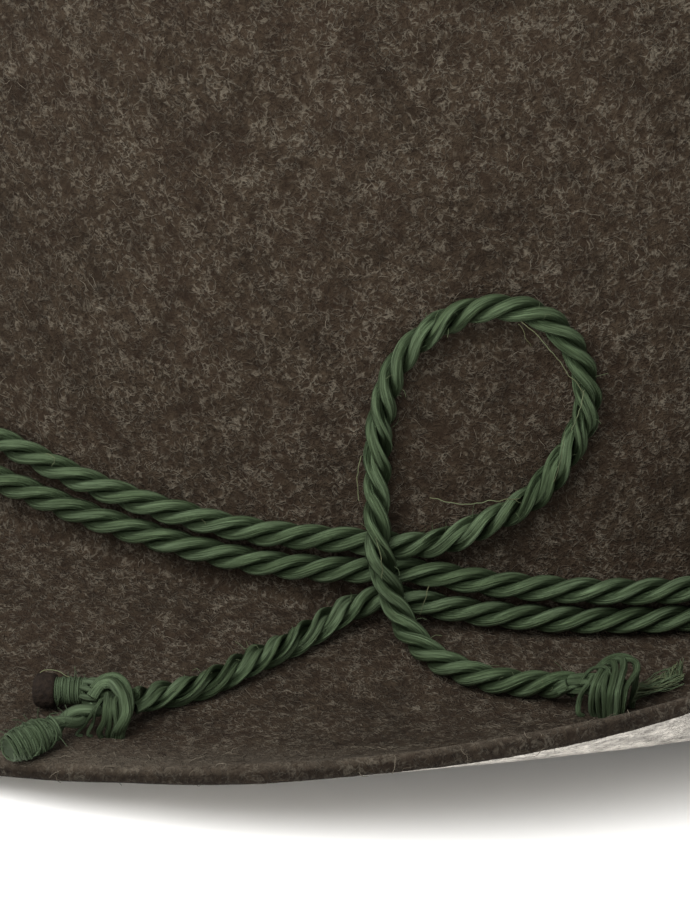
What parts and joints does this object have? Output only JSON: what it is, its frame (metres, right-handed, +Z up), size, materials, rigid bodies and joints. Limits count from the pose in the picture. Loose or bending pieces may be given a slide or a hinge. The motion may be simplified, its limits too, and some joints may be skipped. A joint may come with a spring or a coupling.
{
  "type": "folk costume felt hat",
  "caption": "Felt costume hat with a tapered crown, a brim that dips at the front and rolls up at the back, and a doubled green twisted cord tied in a loop at the left side.",
  "frame": {"origin": "on the surface that the hat rests on, under the middle of the felt's box", "axes": "+Z up, the hat's front towards -Y, the wearer's left towards +X"},
  "size_m": [0.267, 0.2906, 0.1158],
  "materials": {
    "felt": "dark grey-brown mottled wool felt, paler grey underneath",
    "cord": "satin bottle-green twisted cord",
    "whipping": "satin green wound thread",
    "cord_tip": "matt dark brown"
  },
  "bodies": {
    "root": {"felt_hat": "felt", "cord_band": "cord", "cord_loop": "cord", "cord_tail": "cord", "knot_front": "cord", "knot_rear": "cord", "frayed_end": "cord", "whipped_end_upper": "whipping", "whipped_end_lower": "whipping", "tip_upper": "cord_tip"}
  },
  "joints": []
}
